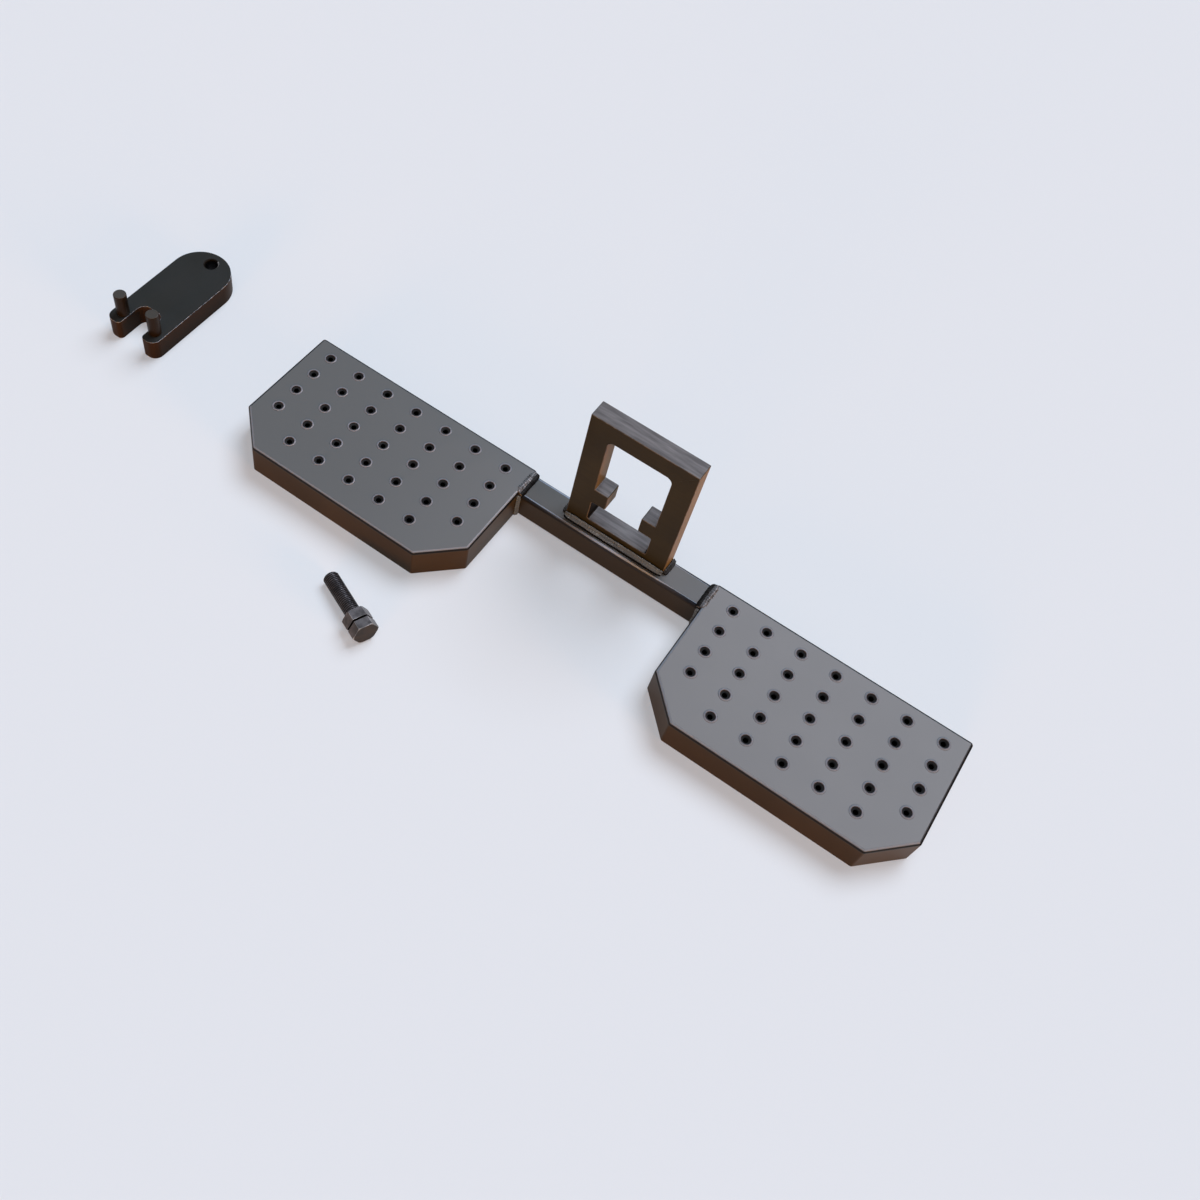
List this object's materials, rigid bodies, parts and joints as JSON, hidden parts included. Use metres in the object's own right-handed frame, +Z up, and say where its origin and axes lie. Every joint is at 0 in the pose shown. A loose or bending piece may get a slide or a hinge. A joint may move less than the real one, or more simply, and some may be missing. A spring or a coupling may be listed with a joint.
{
  "type": "hitch receiver step",
  "caption": "Wide step with two perforated pads joined by a crossbar, an upright window frame for a tow receiver, and its loose lock plate and clamp bolt.",
  "frame": {"origin": "on the floor under the middle of the crossbar, on its underside", "axes": "+X along the crossbar from the left pad to the right one, +Y to the rear, towards the vehicle, +Z up"},
  "size_m": [1.1568, 0.338, 0.2231],
  "materials": {
    "tread_paint": "satin black powder coat",
    "frame_paint": "satin black powder coat on thick plate",
    "weld_paint": "painted weld bead",
    "lock_paint": "satin black paint",
    "pin_steel": "dark round bar",
    "bolt_steel": "black oxide"
  },
  "bodies": {
    "step": {"left_pad": "tread_paint", "right_pad": "tread_paint", "crossbar_tube": "frame_paint", "receiver_frame": "frame_paint", "frame_front_weld": "weld_paint", "frame_rear_weld": "weld_paint", "frame_left_weld": "weld_paint", "frame_right_weld": "weld_paint", "left_top_weld": "weld_paint", "left_front_weld": "weld_paint", "left_rear_weld": "weld_paint", "right_top_weld": "weld_paint", "right_front_weld": "weld_paint", "right_rear_weld": "weld_paint", "lock_plate": "lock_paint", "lock_pin_left": "pin_steel", "lock_pin_right": "pin_steel", "clamp_bolt": "bolt_steel"},
    "nut": {"jam_nut": "bolt_steel"}
  },
  "joints": [
    {"name": "nut_travel", "type": "slide", "parent": "step", "child": "nut", "axis": [-0.9085, 0.4102, -0.0801], "range_m": [-0.0026, 0.058]}
  ]
}
